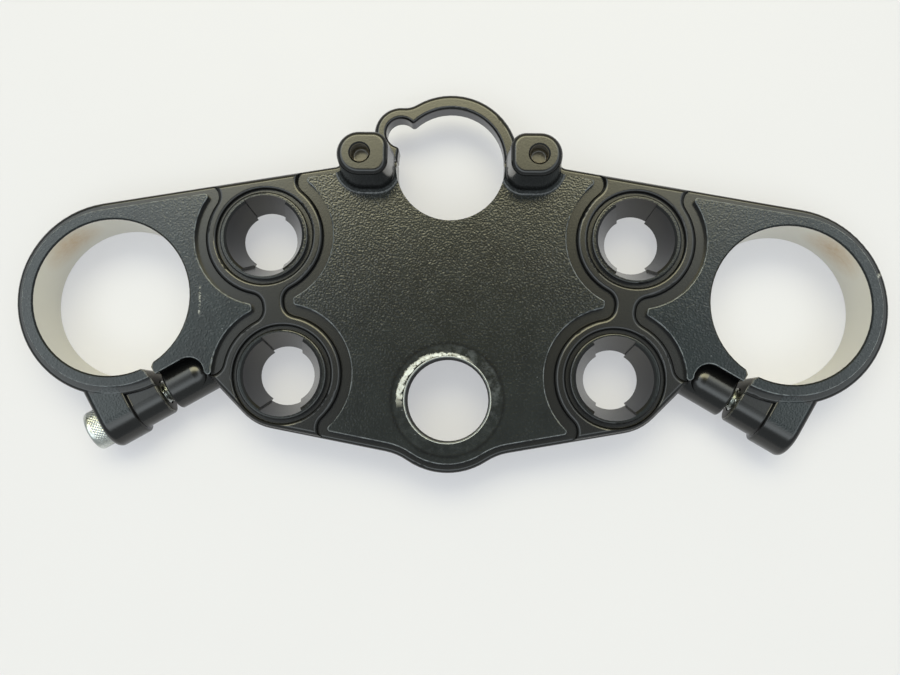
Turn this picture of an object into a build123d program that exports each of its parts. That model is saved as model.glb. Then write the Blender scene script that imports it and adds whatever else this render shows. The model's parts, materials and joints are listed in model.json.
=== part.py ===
"""Motorcycle upper triple clamp, lying with its underside up, and its two pinch bolts.

Frame: origin at the centre of the steering stem bore, +X to the right, +Y to the ignition
lock, +Z up. Heights are counted from the resting plane while building, and everything is
lowered into the frame at the end. All sizes in millimetres.
"""
import os
from math import cos, radians, sin, sqrt, tan

from build123d import *

# fork collars
fork_spacing = 214.0
fork_offset = 31.0
fork_bore = 50.0
collar_wall = 6.2
collar_height = 22.5
collar_foot_wall = 4.5
bore_chamfer = 0.5

# plate, with raised plateaus set in from its edge
plate_thickness = 12.5
edge_step = 2.4
edge_inset = 2.7
edge_round = 1.2
under_edge_round = 1.0
plateau_round = 0.4
front_edge_slope = 9.6
rear_edge_slope = 10.4
ear_wall_slope = 45.0

# steering stem bore and the nose round it
stem_bore = 26.0
nose_radius = 22.65
nose_blend = 18.0

# handlebar damper seats: keyed cones with a lip, a moat and a raised land round them
front_seat_x = 59.1
front_seat_y = 51.2
rear_seat_x = 52.1
rear_seat_y = 7.3
seat_mouth = 24.6
seat_throat = 17.3
seat_key_depth = 0.85
seat_key_angle = 62.0
seat_key_places = (90.0, 270.0)
seat_lip_width = 1.9
seat_lip_drop = 0.2
seat_lip_round = 0.6
moat_width = 1.1
moat_depth = 2.2
moat_round = 1.0
rear_seat_rim = 17.2
land_clearing = 22.1
land_drop = 0.6
land_round = 1.5
land_inset = 0.5
groove_width = 3.1
neck_width = 13.4
plateau_tip_round = 1.0

# ignition lock opening, bosses and bow
lock_y = 74.0
lock_radius = 17.35
lock_slot = 3.4
boss_x = 27.3
boss_height = 17.0
boss_length = 15.5
boss_width = 13.3
boss_inner_side = 8.5
boss_inner_round = 4.5
boss_draft = 3.0
boss_top_round = 1.7
boss_foot_round = 2.0
boss_web_blend = 3.0
boss_hole = 5.5
boss_hole_depth = 5.7
boss_hole_chamfer = 0.6
boss_hole_floor_round = 0.75
bow_thickness = 7.5
bow_width = 4.8
bow_round = 1.6
bow_inner_round = 1.0
lobe_angle = 150.7
lobe_reach = 1.45
lobe_radius = 4.8
lobe_wall = 3.9
lobe_blend = 7.0
lobe_tip_round = 1.2

# pinch ears
ear_angle = 30.0
ear_axis_distance = 33.4
ear_radius = 7.35
ear_inner_length = 16.0
ear_relief_length = 10.4
ear_relief_depth = 7.5
ear_shoulder_inset = 0.3
head_housing_start = 11.0
head_housing_end = 22.5
head_housing_radius = 8.7
head_housing_round = 2.2
head_housing_step_round = 0.7
head_housing_step_blend = 0.6
slit_width = 2.2
slit_mouth_width = 4.4
slit_rim_round = 0.8

# pinch bolts
bolt_diameter = 8.0
bolt_length = 28.0
bolt_head_diameter = 13.0
bolt_head_height = 8.0
bolt_head_round = 0.8
bolt_socket = 6.0
bolt_socket_depth = 4.0
bolt_tip_chamfer = 1.0
head_seat = 14.0
head_clearance = 0.5
shank_clearance = 0.25
thread_clearance = 0.1
thread_depth = 17.0
left_bolt_backed_out = 5.5

# levels and places worked out from the sizes above
fork_x = fork_spacing / 2
collar_radius = fork_bore / 2 + collar_wall
collar_foot_radius = fork_bore / 2 + collar_foot_wall
plate_bottom = collar_height - plate_thickness
stem_bore_middle = collar_height - plate_thickness / 2
step_level = collar_height - edge_step
land_level = collar_height - land_drop
lip_level = collar_height - seat_lip_drop
moat_level = collar_height - moat_depth
boss_top = collar_height + boss_height
bow_top = plate_bottom + bow_thickness
bow_y = lock_y + lock_slot
ear_level = collar_height / 2
fork_centre = Vector(fork_x, fork_offset)
front_seat = Vector(front_seat_x, front_seat_y)
rear_seat = Vector(rear_seat_x, rear_seat_y)
above_all = boss_top + collar_height
overlap = 1.0
tolerance = 1e-3


def polar(angle):
    """Unit vector at an angle in degrees from +X."""
    return Vector(cos(radians(angle)), sin(radians(angle)))


def disc(centre, radius):
    return Pos(centre.X, centre.Y) * Circle(radius)


def both_sides(shape):
    return shape + mirror(shape, Plane.YZ)


def prism(face, low, high):
    return extrude(Pos(0, 0, low) * face, high - low, dir=(0, 0, 1))


def top_edges(solid):
    return solid.edges().group_by(Axis.Z)[-1]


def bottom_edges(solid):
    return solid.edges().group_by(Axis.Z)[0]


def revolved(points, angle=360):
    """Turn a closed profile of radius and height pairs about the Z axis."""
    profile = make_face(Polyline(*[(r, 0, z) for r, z in points], close=True))
    return revolve(profile, Axis.Z, angle)


def bore_cutter(radius, low, high, chamfer_size):
    flare = radius + chamfer_size + overlap
    return revolved([
        (0, low - overlap), (flare, low - overlap), (radius, low + chamfer_size),
        (radius, high - chamfer_size), (flare, high + overlap), (0, high + overlap)])


# directions of the right ear: along the bolt to its head, and away from the fork
bolt_out = polar(-ear_angle)
ear_out = polar(-90 - ear_angle)


def ear_point(along, outward):
    """A point in plan, by distance along the right bolt and out from the fork axis."""
    return fork_centre + bolt_out * along + ear_out * outward


def right_half_plate():
    """Right half of the plate in plan, up to the ear's barrel and the fork axis."""
    front_touch = fork_centre + polar(90 - front_edge_slope) * collar_radius
    front_rise = (front_touch.X - boss_x) * tan(radians(front_edge_slope))
    front_end = Vector(boss_x, front_touch.Y + front_rise)
    rear_touch = rear_seat + polar(rear_edge_slope - 90) * rear_seat_rim
    rear_end = rear_touch - polar(rear_edge_slope) * (rear_touch.X / cos(radians(rear_edge_slope)))
    wall_touch = rear_seat + polar(-ear_wall_slope) * rear_seat_rim
    rim_middle = rear_seat + polar((rear_edge_slope - 90 - ear_wall_slope) / 2) * rear_seat_rim
    barrel_start = ear_point(0, ear_axis_distance - ear_radius / 2)
    wall_run = polar(90 - ear_wall_slope)
    wall_length = (barrel_start - wall_touch).dot(ear_out) / wall_run.dot(ear_out)
    wall_end = wall_touch + wall_run * wall_length
    centre = Vector(0, bow_y)
    return make_face([
        Line(centre, rear_end),
        Line(rear_end, rear_touch),
        ThreePointArc(rear_touch, rim_middle, wall_touch),
        Line(wall_touch, wall_end),
        Line(wall_end, barrel_start),
        Line(barrel_start, fork_centre),
        Line(fork_centre, front_touch),
        Line(front_touch, front_end),
        Line(front_end, centre),
    ])


def boss_footprint(grow):
    """Right lock boss in plan, grown all round by a margin: round outside, squarer at the lock."""
    half = boss_width / 2 + grow
    inner = boss_x - boss_inner_side - grow
    outer_centre = boss_x - boss_inner_side + boss_length - boss_width / 2
    block = Pos((inner + outer_centre) / 2, lock_y) * Rectangle(outer_centre - inner, 2 * half)
    outline = disc(Vector(outer_centre, lock_y), half) + block
    return fillet(outline.vertices().sort_by(Axis.X)[:2], boss_inner_round + grow)


# the lobe's centre lies just outside the round front of the lock opening
lobe_centre = Vector(0, bow_y) + polar(lobe_angle) * (lock_radius + lobe_reach)


def lock_opening():
    """Ignition lock opening in plan: a slot with a small lobe beside the left boss."""
    opening = disc(Vector(0, lock_y), lock_radius) + disc(Vector(0, bow_y), lock_radius)
    opening += Pos(0, (lock_y + bow_y) / 2) * Rectangle(2 * lock_radius, lock_slot)
    opening += disc(lobe_centre, lobe_radius)
    tips = [v for v in opening.vertices() if v.X < 0 and v.Y > bow_y + overlap]
    return fillet(tips, lobe_tip_round)


def bow_band():
    """Bow in plan: an even band round the front of the lock opening."""
    band = disc(Vector(0, bow_y), lock_radius + bow_width)
    band += disc(lobe_centre, lobe_radius + lobe_wall)
    band = fillet(band.vertices().sort_by(Axis.Y)[-1], lobe_blend)
    return band & Pos(0, bow_y + fork_x / 2) * Rectangle(fork_x, fork_x)


def neck_clearing(front, rear):
    """Clearing in plan between the two seats of one side."""
    middle = (front + rear) * 0.5
    run = front - rear
    slope = Vector(1, 0).get_signed_angle(run, Vector(0, 0, 1))
    return Pos(middle.X, middle.Y) * Rot(0, 0, slope) * Rectangle(land_clearing, neck_width)


def on_clearing(point):
    """True for a corner that lies on the round clearing of a seat."""
    right = Vector(abs(point.X), point.Y)
    gaps = [abs((right - seat).length - land_clearing) for seat in (front_seat, rear_seat)]
    return min(gaps) < tolerance


def with_round_tips(area):
    """Plateaus of a plan area, with their tips at the lands' clearings rounded."""
    faces = []
    for face in area.faces():
        tips = [v for v in face.vertices() if on_clearing(v)]
        faces.append(face.fillet_2d(plateau_tip_round, tips))
    return faces


# the clearing above an inner barrel starts where the collar's plateau would end
relief_near = collar_radius - edge_inset
relief_cap = ear_point(-ear_relief_length, ear_axis_distance)


def beside_ear(near, far):
    """Band in plan along the right ear's inner barrel, from the slit, with a round end."""
    corners = [(-ear_relief_length, near), (0, near), (0, far), (-ear_relief_length, far)]
    run = make_face(Polyline(*[ear_point(u, v) for u, v in corners], close=True))
    return run + disc(relief_cap, ear_axis_distance - near)


# outline of the plate with its collars and boss feet
boss_grow = (boss_top - step_level) * tan(radians(boss_draft))
boss_outer_centre = boss_x - boss_inner_side + boss_length - boss_width / 2
outline = both_sides(right_half_plate()) + disc(Vector(0, 0), nose_radius)
nose_corners = [v for v in outline.vertices() if v.Y < 0 and overlap < abs(v.X) < nose_radius]
outline = fillet(nose_corners, nose_blend)
outline += both_sides(disc(fork_centre, collar_radius))
outline += both_sides(boss_footprint(boss_grow))
web_corners = [v for v in outline.vertices() if boss_outer_centre < abs(v.X) < front_seat_x]
web_corners = [v for v in web_corners if v.Y > front_seat_y and abs(v.X) > boss_outer_centre + overlap]
outline = fillet(web_corners, boss_web_blend)

# raised plateaus, and the lands that carry the seats between them
clearings = disc(front_seat, land_clearing) + disc(rear_seat, land_clearing)
clearings += neck_clearing(front_seat, rear_seat)
# beside the ears the collars' plateaus reach right to the clearing above the inner barrel
relief = beside_ear(relief_near, ear_axis_distance + ear_radius + overlap)
shoulder = beside_ear(relief_near - edge_inset, relief_near) & offset(outline, -ear_shoulder_inset)
field = offset(outline, -edge_inset)
plateau_faces = with_round_tips(field + both_sides(shoulder) - both_sides(clearings + relief))
lands = offset(outline, -land_inset)
for face in with_round_tips(field - both_sides(clearings)):
    lands -= offset(face, groove_width)
land_faces = lands.faces().sort_by(SortBy.AREA)[-2:]

casting = prism(outline, plate_bottom, step_level)
casting = fillet(top_edges(casting), edge_round)
casting = fillet(bottom_edges(casting), under_edge_round)
casting += prism(both_sides(disc(fork_centre, collar_foot_radius)), 0, ear_level)
for face in plateau_faces:
    plateau = prism(face, step_level - edge_round, collar_height)
    casting += fillet(top_edges(plateau), plateau_round)
for face in land_faces:
    land = prism(face, step_level - edge_round, land_level)
    casting += fillet(top_edges(land), land_round)


# pinch ears: a small barrel each side of the slit and a larger housing for the bolt head
ear_root = ear_point(0, ear_axis_distance)
ear_frame = Plane((ear_root.X, ear_root.Y, ear_level), x_dir=ear_out, z_dir=bolt_out)
collar_middle = fork_bore / 2 + collar_wall / 2
ear_web = ear_axis_distance - sqrt(collar_middle ** 2 - head_housing_end ** 2)


def barrel_section(radius):
    """Section of an ear: round outside, with a flat web back to the collar."""
    return Circle(radius) + Pos(-ear_web / 2, 0) * Rectangle(ear_web, 2 * radius)


def ear_rod(radius, start, end):
    """A cylinder on the right bolt's axis."""
    return ear_frame * Pos(0, 0, (start + end) / 2) * Cylinder(radius, end - start)


def inner_barrel(length):
    """Barrel on the Z axis inside the slit, with a domed end at a length from it."""
    slit_face = slit_width / 2
    half = sqrt(0.5)
    dome_middle = (ear_radius * half, 0, -length - ear_radius * half)
    barrel = revolve(make_face([
        Line((0, 0, -length - ear_radius), (0, 0, -slit_face)),
        Line((0, 0, -slit_face), (ear_radius, 0, -slit_face)),
        Line((ear_radius, 0, -slit_face), (ear_radius, 0, -length)),
        ThreePointArc((ear_radius, 0, -length), dome_middle, (0, 0, -length - ear_radius)),
    ]), Axis.Z)
    return fillet(top_edges(barrel), slit_rim_round)


def outer_barrel():
    """Barrel on the Z axis outside the slit, with the housing of the bolt head at its end."""
    slit_face = slit_width / 2
    outer_length = head_housing_end - slit_face - overlap
    outer = extrude(Pos(0, 0, slit_face) * barrel_section(ear_radius), outer_length)
    outer = fillet(bottom_edges(outer), slit_rim_round)
    housing = extrude(Pos(0, 0, head_housing_start) * barrel_section(head_housing_radius),
                      head_housing_end - head_housing_start)
    housing = fillet(top_edges(housing), head_housing_round)
    housing = fillet(bottom_edges(housing), head_housing_step_round)
    stepped = outer + housing
    corner = [e for e in stepped.edges() if abs(e.center().Z - head_housing_start) < tolerance]
    corner = [e for e in corner if e.center().X > tolerance - ear_web]
    corner = [e for e in corner if max(e.center().X, abs(e.center().Y)) < ear_radius + tolerance]
    return fillet(corner, head_housing_step_blend)


# the inner barrel runs on inside the plate, and shows only its domed end above the clearing's floor
casting += both_sides(ear_frame * inner_barrel(ear_inner_length))
casting -= prism(both_sides(relief), collar_height - ear_relief_depth, above_all)
casting += both_sides(ear_frame * inner_barrel(ear_relief_length))
casting += both_sides(ear_frame * outer_barrel())

# fork bores, slits and bolt holes
fork_cutter = Pos(fork_x, fork_offset) * bore_cutter(fork_bore / 2, 0, collar_height, bore_chamfer)
casting -= both_sides(fork_cutter)
slit_start = fork_bore / 2 - collar_wall
slit_end = ear_axis_distance + head_housing_radius
slit_plan = [(-slit_width / 2, slit_start), (slit_width / 2, slit_start),
             (slit_width / 2, slit_end), (-slit_width / 2, slit_end)]
mouth_plan = [(-slit_mouth_width / 2, slit_start), (slit_mouth_width / 2, slit_start),
              (slit_mouth_width / 2, fork_bore / 2), (0, fork_bore / 2 + slit_mouth_width / 2),
              (-slit_mouth_width / 2, fork_bore / 2)]
for plan in (slit_plan, mouth_plan):
    gap = make_face(Polyline(*[ear_point(u, v) for u, v in plan], close=True))
    casting -= both_sides(prism(gap, -overlap, above_all))
thread = ear_rod(bolt_diameter / 2, -thread_depth, 0)
clearance_hole = ear_rod(bolt_diameter / 2 + shank_clearance, 0, head_seat + overlap)
counterbore = ear_rod(bolt_head_diameter / 2 + head_clearance, head_seat, head_housing_end + overlap)
casting -= both_sides(thread + clearance_hole + counterbore)

# lock bosses, with a rounded foot where they stand on the plateau
boss_start = step_level - edge_round - overlap
boss_start_grow = (boss_top - boss_start) * tan(radians(boss_draft))
boss = extrude(Pos(0, 0, boss_start) * boss_footprint(boss_start_grow), boss_top - boss_start,
               dir=(0, 0, 1), taper=boss_draft)
boss = fillet(top_edges(boss), boss_top_round)
pad_half = boss_length
pad = Pos(boss_x, lock_y) * Rectangle(2 * pad_half, 2 * pad_half)
boss += prism(pad, step_level, collar_height)
foot = [e for e in boss.edges() if abs(e.center().Z - collar_height) < tolerance]
foot = [e for e in foot if abs(e.center().X - boss_x) < pad_half - overlap]
foot = [e for e in foot if abs(e.center().Y - lock_y) < pad_half - overlap]
boss = fillet(foot, boss_foot_round)
centre_plateau = max(plateau_faces, key=lambda face: face.area)
boss_room = prism(centre_plateau + boss_footprint(boss_grow), step_level, above_all)
boss_room += prism(boss_footprint(boss_start_grow + overlap), boss_start - overlap, step_level)
boss &= boss_room
casting += both_sides(boss)

# bow across the front of the lock opening
bow = prism(bow_band(), plate_bottom, bow_top)
bow_edges = [e for e in top_edges(bow) if e.center().Y > bow_y + tolerance]
bow = fillet(bow_edges, bow_round)
lock_cutter = prism(lock_opening(), -overlap, above_all)
bow -= lock_cutter
opening_at_top = Pos(0, 0, bow_top) * lock_opening()
rim_edges = [e for e in top_edges(bow) if e.center().Y > bow_y + tolerance]
rim_edges = [e for e in rim_edges if opening_at_top.distance_to(e.center()) < tolerance]
casting -= lock_cutter
casting += fillet(rim_edges, bow_inner_round)

# handlebar damper seats
mouth = seat_mouth / 2
throat = seat_throat / 2
flare = (mouth - throat) / (lip_level - plate_bottom)
lip_outer = mouth + seat_lip_width
moat_outer = lip_outer + moat_width
seat_low = plate_bottom - overlap
seat_low_radius = throat - flare * overlap
seat_high_radius = mouth + flare * overlap


def seat_cutter():
    """Cone with a rounded lip at its mouth and a moat round it, about the Z axis."""
    lip_in = (mouth - flare * seat_lip_round, lip_level - seat_lip_round)
    lip_in_top = (mouth + seat_lip_round, lip_level)
    lip_out_top = (lip_outer - seat_lip_round, lip_level)
    lip_out = (lip_outer, lip_level - seat_lip_round)
    edge_low = (moat_outer, land_level - moat_round)
    edge_top = (moat_outer + moat_round, land_level)
    half = sqrt(0.5)
    edge_middle = (edge_top[0] - moat_round * half, edge_low[1] + moat_round * half)
    lip_middle = (lip_outer - seat_lip_round * (1 - half), lip_level - seat_lip_round * (1 - half))

    def at(point):
        return (point[0], 0, point[1])

    profile = [
        Line(at((0, seat_low)), at((seat_low_radius, seat_low))),
        Line(at((seat_low_radius, seat_low)), at(lip_in)),
        Line(at(lip_in), at(lip_in_top)),
        Line(at(lip_in_top), at(lip_out_top)),
        ThreePointArc(at(lip_out_top), at(lip_middle), at(lip_out)),
        Line(at(lip_out), at((lip_outer, moat_level))),
        Line(at((lip_outer, moat_level)), at((moat_outer, moat_level))),
        Line(at((moat_outer, moat_level)), at(edge_low)),
        ThreePointArc(at(edge_low), at(edge_middle), at(edge_top)),
        Line(at(edge_top), at((edge_top[0], above_all))),
        Line(at((edge_top[0], above_all)), at((0, above_all))),
        Line(at((0, above_all)), at((0, seat_low))),
    ]
    cutter = revolve(make_face(profile), Axis.Z)
    key = revolved([(0, seat_low), (seat_low_radius + seat_key_depth, seat_low),
                    (seat_high_radius + seat_key_depth, lip_level + overlap), (0, lip_level + overlap)],
                   seat_key_angle)
    for middle in seat_key_places:
        cutter += Rot(0, 0, middle - seat_key_angle / 2) * key
    return cutter


for seat in (front_seat, rear_seat):
    lip = Pos(seat.X, seat.Y) * Circle(lip_outer + overlap)
    casting += both_sides(prism(lip, step_level, lip_level))
    casting -= both_sides(Pos(seat.X, seat.Y) * seat_cutter())

# stem bore and lock bolt holes
casting -= bore_cutter(stem_bore / 2, plate_bottom, collar_height, bore_chamfer)
boss_hole_floor = boss_top - boss_hole_depth
boss_hole_cutter = revolved([
    (0, boss_hole_floor), (boss_hole / 2, boss_hole_floor), (boss_hole / 2, boss_top - boss_hole_chamfer),
    (boss_hole / 2 + boss_hole_chamfer + overlap, boss_top + overlap), (0, boss_top + overlap)])
boss_hole_cutter = fillet(bottom_edges(boss_hole_cutter), boss_hole_floor_round)
casting -= both_sides(Pos(boss_x, lock_y) * boss_hole_cutter)


def pinch_bolt(backed_out):
    """Socket head cap screw of the right ear, turned out of its seat by a length."""
    shank_radius = bolt_diameter / 2 - thread_clearance
    head_radius = bolt_head_diameter / 2
    bolt = revolved([
        (0, -bolt_length), (shank_radius - bolt_tip_chamfer, -bolt_length),
        (shank_radius, bolt_tip_chamfer - bolt_length), (shank_radius, 0), (head_radius, 0),
        (head_radius, bolt_head_height - bolt_head_round),
        (head_radius - bolt_head_round, bolt_head_height), (0, bolt_head_height)])
    hexagon = RegularPolygon(bolt_socket / 2, 6, major_radius=False)
    bolt -= Pos(0, 0, bolt_head_height - bolt_socket_depth) * extrude(hexagon, bolt_socket_depth + overlap)
    return ear_frame * Pos(0, 0, head_seat + backed_out) * bolt


def in_frame(shape):
    return Pos(0, 0, -stem_bore_middle) * shape


os.makedirs("parts", exist_ok=True)
export_step(in_frame(casting), "parts/clamp_casting.step")
left_bolt = mirror(pinch_bolt(left_bolt_backed_out), Plane.YZ)
export_step(in_frame(left_bolt), "parts/pinch_bolt_left.step")
export_step(in_frame(pinch_bolt(0)), "parts/pinch_bolt_right.step")
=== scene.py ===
import json
from math import cos, pi, radians, sin

import bpy
import numpy as np
from mathutils import Matrix, Vector


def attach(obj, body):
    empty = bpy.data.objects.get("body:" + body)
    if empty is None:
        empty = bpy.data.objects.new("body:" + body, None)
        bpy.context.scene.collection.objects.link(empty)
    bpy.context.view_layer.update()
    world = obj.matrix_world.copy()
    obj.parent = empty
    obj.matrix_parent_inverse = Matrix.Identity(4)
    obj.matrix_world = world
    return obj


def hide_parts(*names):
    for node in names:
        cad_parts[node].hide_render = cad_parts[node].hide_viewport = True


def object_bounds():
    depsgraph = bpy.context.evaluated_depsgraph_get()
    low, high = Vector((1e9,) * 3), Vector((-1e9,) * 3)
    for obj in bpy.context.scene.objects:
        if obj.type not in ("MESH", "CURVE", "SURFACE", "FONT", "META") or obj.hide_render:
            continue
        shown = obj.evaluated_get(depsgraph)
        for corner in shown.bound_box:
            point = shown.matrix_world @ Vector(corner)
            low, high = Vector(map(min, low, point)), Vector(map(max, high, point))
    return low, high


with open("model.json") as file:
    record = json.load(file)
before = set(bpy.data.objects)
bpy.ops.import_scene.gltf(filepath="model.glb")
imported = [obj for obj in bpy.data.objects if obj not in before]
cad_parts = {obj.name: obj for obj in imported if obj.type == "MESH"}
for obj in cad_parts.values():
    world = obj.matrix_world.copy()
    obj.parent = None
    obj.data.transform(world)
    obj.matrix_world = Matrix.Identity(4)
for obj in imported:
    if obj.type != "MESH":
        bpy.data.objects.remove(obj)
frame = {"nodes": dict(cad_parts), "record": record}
cad_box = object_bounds()

# Clamp casting: the yoke of a motorcycle's front fork, lying with its underside up. It is one
# aluminium sand casting, painted satin black all over, and bored afterwards for the fork tubes
# and the steering stem, so those walls and the saw slits at the pinch ears are bare metal.


def hex_colour(code):
    """An sRGB hex colour as linear red, green, blue and alpha."""
    srgb = np.array([int(code[i:i + 2], 16) for i in (1, 3, 5)]) / 255
    linear = np.where(srgb > 0.04045, ((srgb + 0.055) / 1.055) ** 2.4, srgb / 12.92)
    return (*linear.tolist(), 1.0)


def add(tree, kind, links=None, **settings):
    """Add a shader node with its settings. Links gives an input, by name or by number, a value,
    an output socket, or a node whose first live output is taken."""
    node = tree.nodes.new("ShaderNode" + kind)
    for name, value in settings.items():
        setattr(node, name, value)
    for key, value in (links or {}).items():
        live = [s for s in node.inputs if not s.is_unavailable]
        socket = live[key] if isinstance(key, int) else next(s for s in live if s.name == key)
        if isinstance(value, bpy.types.Node):
            value = next(s for s in value.outputs if not s.is_unavailable)
        if isinstance(value, bpy.types.NodeSocket):
            tree.links.new(value, socket)
        else:
            socket.default_value = value
    return node


def new_material(name):
    """An empty node material of that name, as the material and its node tree."""
    material = bpy.data.materials.new(name)
    material.use_nodes = True
    material.node_tree.nodes.clear()
    return material, material.node_tree


def plan_direction(degrees):
    """Unit vector in plan at an angle from +X."""
    return Vector((cos(radians(degrees)), sin(radians(degrees)), 0))


# Places on the casting in millimetres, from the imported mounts, and its chamfer, ears and slits.
mounts = {m["name"]: m for m in frame["record"]["mounts"]}
mm = 0.001
fork = mounts["fork_clamp_right"]
fork_x, fork_y, ear_z = (v / mm for v in fork["pos_m"])
fork_radius = fork["dims"]["r_mm"]
stem_radius = mounts["steering_stem_bore"]["dims"]["r_mm"]
stem_half_length = mounts["steering_stem_bore"]["dims"]["length_mm"] / 2
chamfer = 0.5
plateau_z = stem_half_length + chamfer
ear_angle = 30.0
bolt_out = plan_direction(-ear_angle)
ear_out = plan_direction(-90 - ear_angle)
slit_half_width = 1.1
slit_mouth_half_width = 2.2

# Satin black paint over a sand-cast skin: a leathery grain of about a millimetre on the centre
# plateau, a finer one on the collars, smooth lands and ears, and bare bright metal where a tool
# or a nut has been. Light rolls off its edges in thin soft lines, and a paler painted highlight
# runs along the plateaus' edges.
casting_paint, paint = new_material("satin_black_paint_on_cast_aluminium")
coordinates = add(paint, "TexCoord")
place = add(paint, "Mapping", {"Vector": coordinates.outputs["Object"],
                               "Scale": (1 / mm, 1 / mm, 1 / mm)})
xyz = add(paint, "SeparateXYZ", {0: place})
height = xyz.outputs["Z"]
side = add(paint, "Math", {0: xyz.outputs["X"]}, operation="ABSOLUTE")
flat = add(paint, "CombineXYZ", {"X": xyz.outputs["X"], "Y": xyz.outputs["Y"]})
folded = add(paint, "CombineXYZ", {"X": side, "Y": xyz.outputs["Y"]})

# The flat top of the plateaus, and how far out on the collars a point lies.
above_steps = add(paint, "MapRange", {"Value": height, "From Min": plateau_z - 0.35,
                                      "From Max": plateau_z - 0.1})
below_bosses = add(paint, "MapRange", {"Value": height, "From Min": plateau_z + 1.6,
                                       "From Max": plateau_z + 0.6})
top = add(paint, "Math", {0: above_steps, 1: below_bosses}, operation="MULTIPLY")
centre_grain_end, collar_grain_start = 54.0, 60.0
outer = add(paint, "MapRange", {"Value": side, "From Min": centre_grain_end,
                                "From Max": collar_grain_start}, interpolation_type="SMOOTHSTEP")

# Uneven wear: broad rubbing, and a finer ragged edge.
rub_size = 2.222
ragged_size = 1.111
rub = add(paint, "TexNoise", {"Vector": place, "Scale": 1 / rub_size, "Detail": 5.0,
                              "Roughness": 0.7})
ragged = add(paint, "TexNoise", {"Vector": place, "Scale": 1 / ragged_size, "Detail": 6.0,
                                 "Roughness": 0.7})

# Bare fork bores, from the painted chamfer down, stained with oil at the front.
from_fork = add(paint, "VectorMath", {0: folded, 1: (fork_x, fork_y, 0)}, operation="DISTANCE")
in_bore = add(paint, "MapRange", {"Value": from_fork, "From Min": fork_radius + 0.3,
                                  "From Max": fork_radius + 0.1})
below_chamfer = add(paint, "MapRange", {"Value": height, "From Min": plateau_z - chamfer,
                                        "From Max": plateau_z - chamfer - 0.2})
fork_bare = add(paint, "Math", {0: in_bore, 1: below_chamfer}, operation="MULTIPLY")
stain_angle, stain_height, stain_core, stain_reach = 48.0, -2.0, 3.0, 12.0
stain_centre = Vector((fork_x, fork_y, stain_height)) + fork_radius * plan_direction(stain_angle)
on_right = add(paint, "CombineXYZ", {"X": side, "Y": xyz.outputs["Y"], "Z": height})
from_stain = add(paint, "VectorMath", {0: on_right, 1: stain_centre}, operation="DISTANCE")
stain = add(paint, "MapRange", {"Value": from_stain, "From Min": stain_reach,
                                "From Max": stain_core})
stain = add(paint, "Math", {0: stain, 1: rub}, operation="MULTIPLY")

# Saw slits at the ears: browned bare faces, and a thin worn line on the outer barrel's rim.
from_axis = add(paint, "VectorMath", {0: folded, 1: (fork_x, fork_y, 0)}, operation="SUBTRACT")
along = add(paint, "VectorMath", {0: from_axis, 1: bolt_out}, operation="DOT_PRODUCT")
outward = add(paint, "VectorMath", {0: from_axis, 1: ear_out}, operation="DOT_PRODUCT")
from_slit = add(paint, "Math", {0: along}, operation="ABSOLUTE")
past_bore = add(paint, "MapRange", {"Value": outward, "From Min": fork_radius - 1.5,
                                    "From Max": fork_radius - 0.5})
slit_edge = add(paint, "MapRange", {"Value": outward, "From Min": fork_radius + 1.6,
                                    "From Max": fork_radius, "To Min": slit_half_width,
                                    "To Max": slit_mouth_half_width})
inside_slit = add(paint, "Math", {0: slit_edge, 1: from_slit}, operation="SUBTRACT")
in_slit = add(paint, "MapRange", {"Value": inside_slit, "From Min": -0.2, "From Max": -0.05})
slit_bare = add(paint, "Math", {0: in_slit, 1: past_bore}, operation="MULTIPLY")
off_rim = add(paint, "Math", {0: along, 1: slit_half_width + 0.35}, operation="SUBTRACT")
off_rim = add(paint, "Math", {0: off_rim}, operation="ABSOLUTE")
rim_wear = add(paint, "MapRange", {"Value": off_rim, "From Min": 0.25, "From Max": 0.05,
                                   "To Max": 0.15})
rubbed = add(paint, "MapRange", {"Value": ragged, "From Min": 0.42, "From Max": 0.62})
for part_of in (past_bore, rubbed):
    rim_wear = add(paint, "Math", {0: rim_wear, 1: part_of}, operation="MULTIPLY")

# The flat tops of the bolt heads' housings have the collars' grained paint.
housing_start, housing_radius = 11.0, 8.7
housing_top = add(paint, "MapRange", {"Value": height, "From Min": ear_z + housing_radius - 0.2,
                                      "From Max": ear_z + housing_radius - 0.05})
below_collar = add(paint, "MapRange", {"Value": height, "From Min": ear_z + housing_radius + 0.6,
                                       "From Max": ear_z + housing_radius + 0.3})
past_step = add(paint, "MapRange", {"Value": along, "From Min": housing_start + 0.6,
                                    "From Max": housing_start + 0.9})
for part_of in (below_collar, past_step, past_bore):
    housing_top = add(paint, "Math", {0: housing_top, 1: part_of}, operation="MULTIPLY")
top = add(paint, "Math", {0: top, 1: housing_top}, operation="MAXIMUM")

# Stem bore: a bright machined chamfer, a dull dark wall, and a ragged patch that the stem nut
# scraped off between two circles a little off centre, from nine o'clock over the top to one.
from_stem = add(paint, "VectorMath", {0: flat}, operation="LENGTH")
at_top = add(paint, "MapRange", {"Value": height, "From Min": plateau_z - chamfer - 0.1,
                                 "From Max": plateau_z - chamfer + 0.05})
stem_rim = add(paint, "MapRange", {"Value": from_stem, "From Min": stem_radius + 0.72,
                                   "From Max": stem_radius + 0.55})
off_wall = add(paint, "MapRange", {"Value": from_stem, "From Min": stem_radius + 0.15,
                                   "From Max": stem_radius + 0.3})
for part_of in (at_top, off_wall):
    stem_rim = add(paint, "Math", {0: stem_rim, 1: part_of}, operation="MULTIPLY")
stem_wall = add(paint, "MapRange", {"Value": from_stem, "From Min": stem_radius + 0.3,
                                    "From Max": stem_radius + 0.1})
stem_wall = add(paint, "Math", {0: stem_wall, 1: at_top}, operation="SUBTRACT", use_clamp=True)
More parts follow.
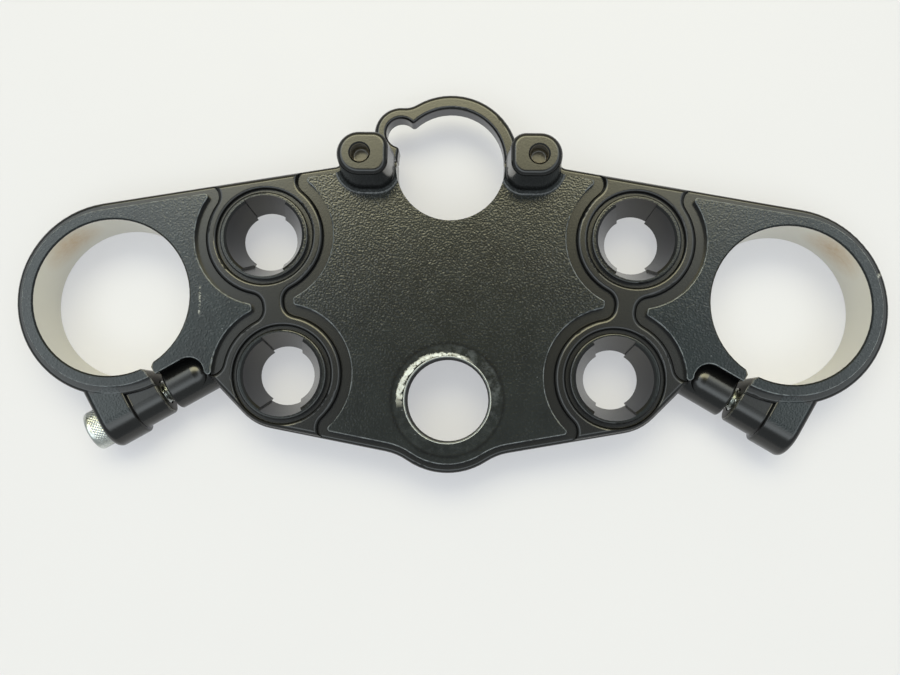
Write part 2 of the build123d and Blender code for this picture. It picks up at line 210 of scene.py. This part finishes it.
ragged_length = add(paint, "MapRange", {"Value": ragged, "From Min": 0.3, "From Max": 0.7,
                                        "To Min": -0.6, "To Max": 0.6})
scrape = at_top
scrape_circles = (((-1.0, -0.3, 0), 15.0, 1), ((-0.6, 0.1, 0), 13.6, -1))
for circle_centre, circle_radius, inward in scrape_circles:
    to_circle = add(paint, "VectorMath", {0: flat, 1: circle_centre}, operation="DISTANCE")
    to_circle = add(paint, "Math", {0: to_circle, 1: ragged_length}, operation="ADD")
    within = add(paint, "MapRange", {"Value": to_circle, "From Min": circle_radius + 0.15 * inward,
                                     "From Max": circle_radius - 0.15 * inward})
    scrape = add(paint, "Math", {0: scrape, 1: within}, operation="MULTIPLY")
direction = add(paint, "VectorMath", {0: flat}, operation="NORMALIZE")
scrape_angle, scrape_end, scrape_full = 122.0, 68.0, 52.0
scrape_cosine = add(paint, "VectorMath", {0: direction, 1: plan_direction(scrape_angle)},
                    operation="DOT_PRODUCT")
scrape_arc = add(paint, "MapRange", {"Value": scrape_cosine,
                                     "From Min": cos(radians(scrape_end)),
                                     "From Max": cos(radians(scrape_full))})
worn_through = add(paint, "MapRange", {"Value": ragged, "From Min": 0.35, "From Max": 0.55,
                                       "To Min": 0.45})
for part_of in (scrape_arc, worn_through):
    scrape = add(paint, "Math", {0: scrape, 1: part_of}, operation="MULTIPLY")

# The nut's seat: a dark pressed ring, and inside it paint that is rubbed smoother and greyer.
nut_radius = 17.6
smudge_angle, smudge_end, smudge_full = 35.0, 75.0, 25.0
off_ring = add(paint, "Math", {0: from_stem, 1: nut_radius}, operation="SUBTRACT")
off_ring = add(paint, "Math", {0: off_ring}, operation="ABSOLUTE")
pressed = add(paint, "MapRange", {"Value": off_ring, "From Min": 0.8, "From Max": 0.1})
pressed = add(paint, "Math", {0: pressed, 1: top}, operation="MULTIPLY")
under_nut = add(paint, "MapRange", {"Value": from_stem, "From Min": nut_radius,
                                    "From Max": nut_radius - 1})
nut_rub = add(paint, "MapRange", {"Value": rub, "From Min": 0.45, "From Max": 0.75})
smudge_cosine = add(paint, "VectorMath", {0: direction, 1: plan_direction(smudge_angle)},
                    operation="DOT_PRODUCT")
smudge = add(paint, "MapRange", {"Value": smudge_cosine, "To Min": 0.25,
                                 "From Min": cos(radians(smudge_end)),
                                 "From Max": cos(radians(smudge_full))})
for part_of in (under_nut, top, smudge):
    nut_rub = add(paint, "Math", {0: nut_rub, 1: part_of}, operation="MULTIPLY")

# A row of short scratches beside the left front seat, and a chip on the right collar's edge.
scratch_x, scratch_low, scratch_high = -78.6, 25.5, 35.0
scratch_share = 0.5
off_scratch = add(paint, "Math", {0: xyz.outputs["X"], 1: scratch_x}, operation="SUBTRACT")
off_scratch = add(paint, "Math", {0: off_scratch}, operation="ABSOLUTE")
scratch = add(paint, "MapRange", {"Value": off_scratch, "From Min": 0.45, "From Max": 0.15})
after_low = add(paint, "MapRange", {"Value": xyz.outputs["Y"], "From Min": scratch_low,
                                    "From Max": scratch_low + 1})
before_high = add(paint, "MapRange", {"Value": xyz.outputs["Y"], "From Min": scratch_high,
                                      "From Max": scratch_high - 1})
broken = add(paint, "MapRange", {"Value": ragged, "From Min": 0.5, "From Max": 0.6})
for part_of in (after_low, before_high, broken, top, scratch_share):
    scratch = add(paint, "Math", {0: scratch, 1: part_of}, operation="MULTIPLY")
chip_place = (135.6, 40.9, 4.0)
chip_radius = 0.8
from_chip = add(paint, "VectorMath", {0: place, 1: chip_place}, operation="DISTANCE")
from_chip = add(paint, "Math", {0: from_chip, 1: ragged_length}, operation="ADD")
chip = add(paint, "MapRange", {"Value": from_chip, "From Min": chip_radius,
                               "From Max": chip_radius / 2, "To Max": 0.5})

# The plateaus' rounded edges, where handling has rubbed the paint thin. They are drawn paler still
# as a painted highlight along them.
on_edge = add(paint, "MapRange", {"Value": height, "From Min": plateau_z - 0.45,
                                  "From Max": plateau_z - 0.3})
off_top = add(paint, "MapRange", {"Value": height, "From Min": plateau_z - 0.004,
                                  "From Max": plateau_z - 0.02})
edge_rub_and_highlight = add(paint, "MapRange", {"Value": rub, "From Min": 0.3, "From Max": 0.6})
front_seat = Vector(mounts["damper_seat_front_right"]["pos_m"]).to_2d() / mm
rear_seat = Vector(mounts["damper_seat_rear_right"]["pos_m"]).to_2d() / mm
moat_radius = 15.3
off_holes = [add(paint, "Math", {0: from_fork, 1: fork_radius + chamfer + 0.1},
                 operation="GREATER_THAN")]
for seat_centre in (front_seat, rear_seat):
    from_seat = add(paint, "VectorMath", {0: folded, 1: seat_centre.to_3d()}, operation="DISTANCE")
    off_holes.append(add(paint, "Math", {0: from_seat, 1: moat_radius}, operation="GREATER_THAN"))
for part_of in (on_edge, off_top, *off_holes):
    edge_rub_and_highlight = add(paint, "Math", {0: edge_rub_and_highlight, 1: part_of}, operation="MULTIPLY")

# Cast grain, coarser on the centre plateau and finer on the collars, rubbed paler at its tips. The
# finer one is drawn a little coarser than it is, so that it shows.
grain_size = 0.62
fine_grain_size = 0.5
grain = add(paint, "TexNoise", {"Vector": place, "Scale": 1 / grain_size, "Detail": 0.0})
fine_grain = add(paint, "TexNoise", {"Vector": place, "Scale": 1 / fine_grain_size, "Detail": 0.0})
centre_tips = add(paint, "MapRange", {"Value": grain, "From Min": 0.5, "From Max": 0.75})
collar_tips = add(paint, "MapRange", {"Value": fine_grain, "From Min": 0.55, "From Max": 0.8})
tips = add(paint, "Mix", {"Factor": outer, "A": centre_tips, "B": collar_tips})
rubbed_tips = add(paint, "MapRange", {"Value": rub, "From Min": 0.35, "From Max": 0.65,
                                      "To Min": 0.3, "To Max": 1.0})
off_stem = add(paint, "MapRange", {"Value": xyz.outputs["Y"], "From Min": 0.0, "From Max": 30.0,
                                   "To Min": 0.25, "To Max": 1.0})
for part_of in (rubbed_tips, off_stem, top):
    tips = add(paint, "Math", {0: tips, 1: part_of}, operation="MULTIPLY")
tips = add(paint, "Math", {0: tips, 1: under_nut}, operation="SUBTRACT", use_clamp=True)

# The lock bolt holes are coloured a lighter brown inside.
lock_bolts = mounts["ignition_lock_bolts"]
lock_bolt = Vector((lock_bolts["dims"]["spacing_x_mm"] / 2, lock_bolts["pos_m"][1] / mm, 0))
from_bolt = add(paint, "VectorMath", {0: folded, 1: lock_bolt}, operation="DISTANCE")
in_boss = add(paint, "Math", {0: height, 1: plateau_z}, operation="GREATER_THAN")
in_hole = add(paint, "Math", {0: from_bolt, 1: lock_bolts["dims"]["hole_r_mm"] + 0.1},
              operation="LESS_THAN")
brown_hole_inside = add(paint, "Math", {0: in_hole, 1: in_boss}, operation="MULTIPLY")

# Fine light specks, dust and pinholes, on the plateaus.
speck_spacing = 3.2
speck_radius = 0.17
speck_cells = add(paint, "TexVoronoi", {"Vector": place, "Scale": 1 / speck_spacing})
speck = add(paint, "MapRange", {"Value": speck_cells.outputs["Distance"],
                                "From Min": speck_radius / speck_spacing,
                                "From Max": 0.5 * speck_radius / speck_spacing})
speck_pick = add(paint, "SeparateXYZ", {0: speck_cells.outputs["Color"]})
picked = add(paint, "Math", {0: speck_pick.outputs["X"], 1: 0.55}, operation="GREATER_THAN")
specks = add(paint, "Math", {0: speck, 1: picked}, operation="MULTIPLY")
specks = add(paint, "Math", {0: specks, 1: top}, operation="MULTIPLY")

# Colours, from the paint up.
centre_black = hex_colour("#161919")
# The collars' black is bluer than the centre's: a painted tint of the cool light from the sides.
cool_tinted_collar_black = hex_colour("#101719")
smooth_black = hex_colour("#0d0d0d")
dust_and_highlight_grey = hex_colour("#868b90")
machined_metal = hex_colour("#d0cec1")
scraped_metal = hex_colour("#b6babc")
oil_stain = hex_colour("#b3905c")
slit_brown = hex_colour("#3d372d")
hole_brown = hex_colour("#4d4639")
face_black = add(paint, "Mix", {"Factor": outer, "A": centre_black, "B": cool_tinted_collar_black},
                 data_type="RGBA")
black = add(paint, "Mix", {"Factor": top, "A": smooth_black, "B": face_black}, data_type="RGBA")
mottle_size = 8.333
mottle = add(paint, "TexNoise", {"Vector": place, "Scale": 1 / mottle_size, "Detail": 3.0})
mottled = add(paint, "MapRange", {"Value": mottle, "From Min": 0.3, "From Max": 0.7,
                                  "To Min": 0.75, "To Max": 1.25})
pressed_shade = -0.7
shaded = add(paint, "Math", {0: pressed, 1: pressed_shade, 2: mottled}, operation="MULTIPLY_ADD")
black = add(paint, "Mix", {"Factor": 1.0, "A": black, "B": shaded}, data_type="RGBA",
            blend_type="MULTIPLY")
# Paler paint: the specks, the nut's rub and the grain's tips are wear. On the plateaus' edges it is
# partly a painted highlight.
worn = specks
for wear, amount in ((nut_rub, 0.45), (edge_rub_and_highlight, 1.0), (tips, 0.18)):
    worn = add(paint, "Math", {0: wear, 1: amount, 2: worn}, operation="MULTIPLY_ADD",
               use_clamp=True)
dust_cover = 0.55
worn = add(paint, "Math", {0: worn, 1: dust_cover}, operation="MULTIPLY")
painted = add(paint, "Mix", {"Factor": worn, "A": black, "B": dust_and_highlight_grey}, data_type="RGBA")
painted = add(paint, "Mix", {"Factor": brown_hole_inside, "A": painted, "B": hole_brown}, data_type="RGBA")
metal = add(paint, "Mix", {"Factor": stain, "A": machined_metal, "B": oil_stain},
            data_type="RGBA")
metal = add(paint, "Mix", {"Factor": slit_bare, "A": metal, "B": slit_brown}, data_type="RGBA")
bright = add(paint, "Math", {0: scrape, 1: stem_rim}, operation="MAXIMUM")
for part_of in (scratch, chip, rim_wear):
    bright = add(paint, "Math", {0: bright, 1: part_of}, operation="MAXIMUM")
metal = add(paint, "Mix", {"Factor": bright, "A": metal, "B": scraped_metal}, data_type="RGBA")
bare = add(paint, "Math", {0: bright, 1: fork_bare}, operation="MAXIMUM")
bare = add(paint, "Math", {0: bare, 1: slit_bare}, operation="MAXIMUM")
colour = add(paint, "Mix", {"Factor": bare, "A": painted, "B": metal}, data_type="RGBA")

# Gloss: the grain makes the plateaus look satin, so their skin is a little glossier than that of the
# smooth faces. The stem bore is dull, and so is metal where it is scraped.
smooth_roughness, grained_roughness, stem_roughness = 0.2, 0.14, 1.0
bored_roughness, scraped_roughness = 0.36, 0.42
gloss = add(paint, "Mix", {"Factor": top, "A": smooth_roughness, "B": grained_roughness})
gloss = add(paint, "Mix", {"Factor": stem_wall, "A": gloss, "B": stem_roughness})
metal_gloss = add(paint, "Mix", {"Factor": bright, "A": bored_roughness, "B": scraped_roughness})
roughness = add(paint, "Mix", {"Factor": bare, "A": gloss, "B": metal_gloss})

# Relief in millimetres: cast grain, its fine skin, and the boring tool's rings in the bores, which
# are drawn coarser than they are, so that they show.
grain_height = 0.036
fine_grain_height = 0.03
tool_mark_spacing = 0.3
tool_mark_length = 50.0
tool_mark_height = 0.012
centre_top = add(paint, "Math", {0: top, 1: outer}, operation="SUBTRACT", use_clamp=True)
nut_smooth = add(paint, "Math", {0: under_nut, 1: 0.85}, operation="MULTIPLY")
centre_top = add(paint, "Math", {0: centre_top, 1: nut_smooth}, operation="SUBTRACT",
                 use_clamp=True)
grain_share = add(paint, "MapRange", {"Value": centre_top, "To Min": 0.1 * grain_height,
                                      "To Max": grain_height})
fine_share = add(paint, "MapRange", {"Value": top, "To Min": 0.2 * fine_grain_height,
                                     "To Max": fine_grain_height})
relief = add(paint, "Math", {0: grain, 1: grain_share}, operation="MULTIPLY")
relief = add(paint, "Math", {0: fine_grain, 1: fine_share, 2: relief}, operation="MULTIPLY_ADD")
tool_scale = (1 / tool_mark_length, 1 / tool_mark_length, 1 / tool_mark_spacing)
tool_place = add(paint, "Mapping", {"Vector": place, "Scale": tool_scale})
tool_marks = add(paint, "TexNoise", {"Vector": tool_place, "Scale": 1.0, "Detail": 1.0})
marks = add(paint, "Math", {0: tool_marks, 1: tool_mark_height}, operation="MULTIPLY")
relief = add(paint, "Mix", {"Factor": fork_bare, "A": relief, "B": marks})
bump = add(paint, "Bump", {"Height": relief, "Distance": mm})
shader = add(paint, "BsdfPrincipled", {"Base Color": colour, "Metallic": bare,
                                       "Roughness": roughness, "Normal": bump})
add(paint, "OutputMaterial", {"Surface": shader})

casting = frame["nodes"]["clamp_casting"]
casting.data.materials.clear()
casting.data.materials.append(casting_paint)

# Pinch bolts: socket head cap screws of zinc plated steel, cold headed with a knurled head and a
# rolled thread. The right one is home in its counterbore, the left one is backed out.
shank_radius = 3.9
shank_length = 28.0
tip_chamfer = 1.0
thread_pitch = 1.25
thread_depth = 0.6
head_radius = 6.5
head_height = 8.0
head_round = 0.8
# The knurl is drawn a little coarser than a real one, about 0.8 mm, so that it shows at this size.
knurl_pitch = 1.1
knurl_depth = 0.3
socket_half_width = 3.0
socket_depth = 4.0
ear_axis_distance = 33.4
head_seat = 14.0
left_backed_out = 5.5


def turned_piece(name, radius, station, start, axis):
    """Closed surface round an axis: ring i stands station[i] along the axis from start, and its
    point j stands radius[i, j] from it at an even angle. A point on the axis closes each end."""
    rings, points = radius.shape
    across = axis.orthogonal().normalized()
    upward = axis.cross(across)
    angle = np.linspace(0, 2 * pi, points, endpoint=False)
    spoke = np.cos(angle)[:, None] * np.array(across) + np.sin(angle)[:, None] * np.array(upward)
    ring_points = radius[..., None] * spoke + station[:, None, None] * np.array(axis)
    ends = station[[0, -1]][:, None] * np.array(axis)
    vertices = np.vstack([ring_points.reshape(-1, 3), ends]) + np.array(start)
    here = np.arange(rings * points).reshape(rings, points)
    turn = np.roll(here, -1, axis=1)
    quads = np.stack([here[:-1], turn[:-1], turn[1:], here[1:]], axis=-1).reshape(-1, 4)
    first = np.stack([turn[0], here[0], np.full(points, rings * points)], axis=-1)
    last = np.stack([here[-1], turn[-1], np.full(points, rings * points + 1)], axis=-1)
    mesh = bpy.data.meshes.new(name)
    mesh.from_pydata((vertices * mm).tolist(), [], quads.tolist() + first.tolist() + last.tolist())
    mesh.shade_smooth()
    mesh.set_sharp_from_angle(angle=radians(38))
    piece = bpy.data.objects.new(name, mesh)
    bpy.context.scene.collection.objects.link(piece)
    return piece


def cap_screw_rings():
    """Stations and radii of a cap screw, from its tip to its socket. The thread is a triangle
    wave of the helix angle, the knurl the lower of two crossed triangle waves, and the socket's
    radius is its half width over the cosine of the angle from the nearest flat's middle."""
    points = 240
    angle = np.linspace(0, 2 * pi, points, endpoint=False)

    def wave(phase):
        return np.abs(2 * (phase % 1) - 1)

    shank = np.linspace(-shank_length, -0.4, int(shank_length / thread_pitch * 7))
    thread = shank_radius - thread_depth * wave(shank[:, None] / thread_pitch - angle / (2 * pi))
    taper = shank_radius - tip_chamfer + (shank + shank_length)
    thread = np.minimum(thread, taper[:, None])
    knurl_low, knurl_high = 0.7, head_height - 1.4
    teeth = int(2 * pi * head_radius / knurl_pitch)
    side = np.linspace(knurl_low, knurl_high, 44)
    twist = teeth * angle / (2 * pi)
    rise = side[:, None] / knurl_pitch
    ridges = np.minimum(wave(twist + rise), wave(twist - rise))
    fade = np.minimum(1, np.minimum(side - knurl_low, knurl_high - side) / 0.3)
    knurl = head_radius - knurl_depth * ridges * fade[:, None]
    flat_angle = (angle + pi / 6) % (pi / 3) - pi / 6
    hexagon = socket_half_width / np.cos(flat_angle)
    round_turn = np.linspace(0, pi / 2, 7)
    rim_station = head_height - head_round + head_round * np.sin(round_turn)
    rim_radius = head_radius - head_round + head_round * np.cos(round_turn)
    even = np.ones(points)
    mouth = hexagon + 0.35
    rings = [
        (shank, thread),
        (np.array([-0.4, 0.0]), np.outer([shank_radius - 0.2, shank_radius], even)),
        (np.array([0.0, 0.15]), np.outer([head_radius - 0.35, head_radius], even)),
        (side, knurl),
        (rim_station, np.outer(rim_radius, even)),
        (np.array([head_height]), mouth[None]),
        (np.array([head_height - 0.35, head_height - socket_depth]), np.stack([hexagon, hexagon])),
        (np.array([head_height - socket_depth - 0.3]), 0.5 * hexagon[None]),
    ]
    station = np.concatenate([s for s, r in rings])
    radius = np.concatenate([r for s, r in rings])
    return station, radius


# Bright zinc plate on steel: cool silver with a faint blue and straw cast, soft from handling.
zinc, plate = new_material("bright_zinc_plate_on_steel")
zinc_silver = hex_colour("#c8ccc9")
zinc_dull = hex_colour("#b3b6b2")
cloud_size = 4.0
zinc_place = add(plate, "Mapping", {"Vector": add(plate, "TexCoord").outputs["Object"],
                                    "Scale": (1 / mm, 1 / mm, 1 / mm)})
cloud = add(plate, "TexNoise", {"Vector": zinc_place, "Scale": 1 / cloud_size, "Detail": 4.0})
cloud = add(plate, "MapRange", {"Value": cloud, "From Min": 0.35, "From Max": 0.65})
zinc_colour = add(plate, "Mix", {"Factor": cloud, "A": zinc_silver, "B": zinc_dull},
                  data_type="RGBA")
zinc_gloss = add(plate, "MapRange", {"Value": cloud, "To Min": 0.22, "To Max": 0.36})
zinc_shader = add(plate, "BsdfPrincipled", {"Base Color": zinc_colour, "Metallic": 1.0,
                                            "Roughness": zinc_gloss})
add(plate, "OutputMaterial", {"Surface": zinc_shader})

bolt_station, bolt_radius = cap_screw_rings()
pinch_bolts = (("left_pinch_screw", "pinch_bolt_left", -1, left_backed_out),
               ("right_pinch_screw", "pinch_bolt_right", 1, 0.0))
for bolt_name, node, hand, backed_out in pinch_bolts:
    mirror = np.array([hand, 1, 1])
    axis = Vector(mirror * np.array(bolt_out))
    seat = Vector((fork_x, fork_y, ear_z)) + ear_out * ear_axis_distance
    seat = seat + bolt_out * (head_seat + backed_out)
    bolt = turned_piece(bolt_name, bolt_radius, bolt_station, Vector(mirror * np.array(seat)), axis)
    bolt.data.materials.append(zinc)
    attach(bolt, "root")
    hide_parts(node)

# Table: a plain pale top with an even glow of its own, a painted glow that lightens the shadows
# under the clamp and the floor seen through its holes. The clamp stands on it with the rims of its
# collars. It is wider than the view.
table_half = 1.5
table_white = hex_colour("#8f8e91")
table_shade = hex_colour("#8c8b8e")
table_glow = hex_colour("#fcfdff")
glow_strength = 0.4
glass_cloud_size = 83.33
table_z = cad_box[0][2]
corners = np.array([[-1, -1], [1, -1], [1, 1], [-1, 1]]) * table_half
table_mesh = bpy.data.meshes.new("table")
table_mesh.from_pydata(np.column_stack([corners, np.full(4, table_z)]).tolist(), [], [(0, 1, 2, 3)])
table = bpy.data.objects.new("table", table_mesh)
bpy.context.scene.collection.objects.link(table)
glowing_table, glass = new_material("pale_table_with_painted_glow")
glass_place = add(glass, "Mapping", {"Vector": add(glass, "TexCoord").outputs["Object"],
                                     "Scale": (1 / mm, 1 / mm, 1 / mm)})
glass_cloud = add(glass, "TexNoise", {"Vector": glass_place, "Scale": 1 / glass_cloud_size,
                                      "Detail": 3.0})
glass_colour = add(glass, "Mix", {"Factor": glass_cloud, "A": table_white, "B": table_shade},
                   data_type="RGBA")
glass_shader = add(glass, "BsdfPrincipled", {"Base Color": glass_colour, "Roughness": 0.6,
                                             "Emission Color": table_glow,
                                             "Emission Strength": glow_strength})
add(glass, "OutputMaterial", {"Surface": glass_shader})
table_mesh.materials.append(glowing_table)

# Light: a pale room, dim overhead where the camera stands and brightest in a ring round that place,
# more so on the left, with a large warm lamp on the lock's side and a small one near it that only
# lights dull surfaces.
bpy.context.scene.view_settings.view_transform = "Standard"
room_cool = hex_colour("#eef7fa")
lamp_warm = hex_colour("#fff9cf")
overhead_strength = 0.38
ring_strength = 2.6
wall_strength = 0.5
back_share = 1.1
left_share = 1.06
right_share = 0.84
lock_lamp_strength = 7.2
small_lamp_strength = 0.2
small_lamp_width = 8.0
small_lamp_tilt = -20.0


def over_zenith_angle(first, last, low=0.0, high=1.0):
    """A smooth step of the room's light between two angles from the zenith, in degrees."""
    return add(room, "MapRange", {"Value": off_zenith, "From Min": radians(first),
                                  "From Max": radians(last), "To Min": low, "To Max": high},
               interpolation_type="SMOOTHSTEP")


room_world = bpy.data.worlds.new("pale_room")
room_world.use_nodes = True
room = room_world.node_tree
room.nodes.clear()
toward = add(room, "TexCoord").outputs["Generated"]
level = add(room, "VectorMath", {0: toward, 1: (1, 1, 0)}, operation="MULTIPLY")
level = add(room, "VectorMath", {0: level}, operation="NORMALIZE")
level_xyz = add(room, "SeparateXYZ", {0: level})
toward_lock = level_xyz.outputs["Y"]
across_share = add(room, "MapRange", {"Value": level_xyz.outputs["X"], "From Min": -0.7,
                                      "From Max": 0.7, "To Min": left_share,
                                      "To Max": right_share})
off_zenith = add(room, "SeparateXYZ", {0: toward}).outputs["Z"]
off_zenith = add(room, "Math", {0: off_zenith}, operation="ARCCOSINE")
lock_side = add(room, "MapRange", {"Value": toward_lock, "From Min": 0.5, "From Max": 0.95},
                interpolation_type="SMOOTHSTEP")
ring = add(room, "MapRange", {"Value": toward_lock, "From Min": -0.9, "From Max": 0.0,
                              "To Min": back_share})
for part_of in (over_zenith_angle(8, 28, 0.0, ring_strength), over_zenith_angle(46, 34)):
    ring = add(room, "Math", {0: ring, 1: part_of}, operation="MULTIPLY")
lock_lamp = lock_side
for part_of in (over_zenith_angle(12, 23, 0.0, lock_lamp_strength), over_zenith_angle(50, 26)):
    lock_lamp = add(room, "Math", {0: lock_lamp, 1: part_of}, operation="MULTIPLY")
lamps = add(room, "Math", {0: lock_lamp, 1: ring}, operation="ADD")
lamps = add(room, "Math", {0: lamps, 1: across_share}, operation="MULTIPLY")
plain = over_zenith_angle(35, 60, overhead_strength, wall_strength)
strength = add(room, "Math", {0: lamps, 1: plain}, operation="ADD")
tint = add(room, "Mix", {"Factor": lock_side, "A": room_cool, "B": lamp_warm}, data_type="RGBA")
sky = add(room, "Background", {"Color": tint, "Strength": strength})
add(room, "OutputWorld", {"Surface": sky})
bpy.context.scene.world = room_world
small_lamp_data = bpy.data.lights.new("small_lamp", "SUN")
small_lamp_data.energy = small_lamp_strength
small_lamp_data.angle = radians(small_lamp_width)
small_lamp = bpy.data.objects.new("small_lamp", small_lamp_data)
small_lamp.visible_glossy = False
small_lamp.matrix_world = Matrix.Rotation(radians(small_lamp_tilt), 4, "X")
bpy.context.scene.collection.objects.link(small_lamp)

# Camera: nearly above the stem bore, a little tilted towards the lock, as the photograph is taken.
image_width = 900
focal_pixels = 990
principal_above_middle = 38
camera_place = Vector((7.3, -5.2, 315.05)) * mm
camera_turn, camera_lean, camera_tilt = -0.65, -1.26, -6.75
camera_data = bpy.data.cameras.new("camera")
camera_data.sensor_width = 36
camera_data.lens = focal_pixels / image_width * camera_data.sensor_width
camera_data.shift_y = -principal_above_middle / image_width
camera_data.clip_start = 0.01
camera = bpy.data.objects.new("camera", camera_data)
into_view = (Matrix.Rotation(radians(camera_turn), 4, "Z")
             @ Matrix.Rotation(radians(camera_lean), 4, "Y")
             @ Matrix.Rotation(radians(camera_tilt), 4, "X"))
camera.matrix_world = Matrix.Translation(camera_place) @ into_view.transposed()
bpy.context.scene.collection.objects.link(camera)
bpy.context.scene.camera = camera
